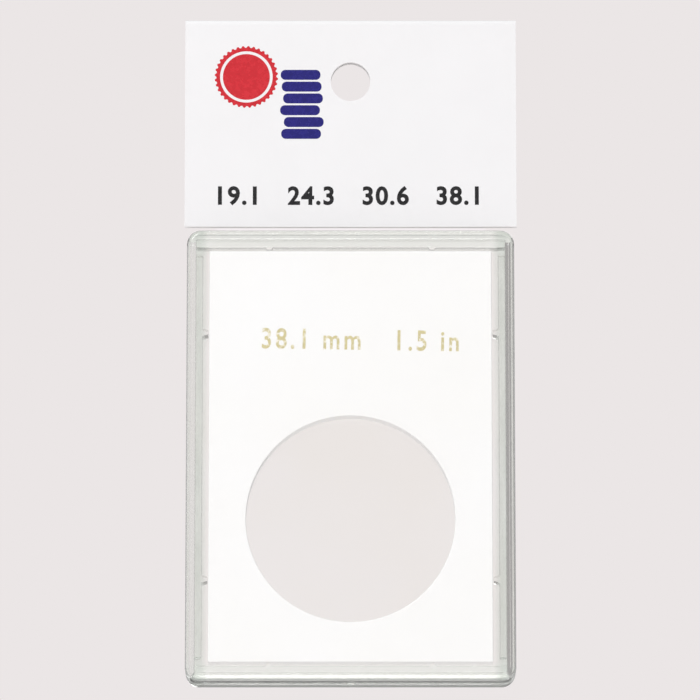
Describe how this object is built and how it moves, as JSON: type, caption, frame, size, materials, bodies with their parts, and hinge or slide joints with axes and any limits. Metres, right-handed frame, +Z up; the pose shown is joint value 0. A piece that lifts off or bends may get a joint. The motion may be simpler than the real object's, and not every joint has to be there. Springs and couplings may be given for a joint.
{
  "type": "coin holder",
  "caption": "Flat clear plastic coin holder: two friction-fit shells around a white insert with a round coin seat, hung by a clear strip from a folded white card header with a hang hole.",
  "frame": {"origin": "centre of the hang hole, midway between the header's two panels", "axes": "+Z up as the pack hangs, -Y out of the front window towards the viewer, +X to the viewer's right"},
  "size_m": [0.0616, 0.0084, 0.126],
  "materials": {
    "clear_shell": "gloss",
    "white_insert": "satin",
    "white_card": "gloss",
    "clear_film": "gloss"
  },
  "bodies": {
    "back_half": {"rear_shell": "clear_shell", "hang_strip": "clear_film", "header_card": "white_card"},
    "insert": {"coin_insert": "white_insert"},
    "lid": {"front_shell": "clear_shell"}
  },
  "joints": [
    {"name": "insert_lift", "type": "slide", "parent": "back_half", "child": "insert", "axis": [0, -1, 0], "range_m": [0, 0.015]},
    {"name": "lid_lift", "type": "slide", "parent": "insert", "child": "lid", "axis": [0, -1, 0], "range_m": [0, 0.045]}
  ]
}
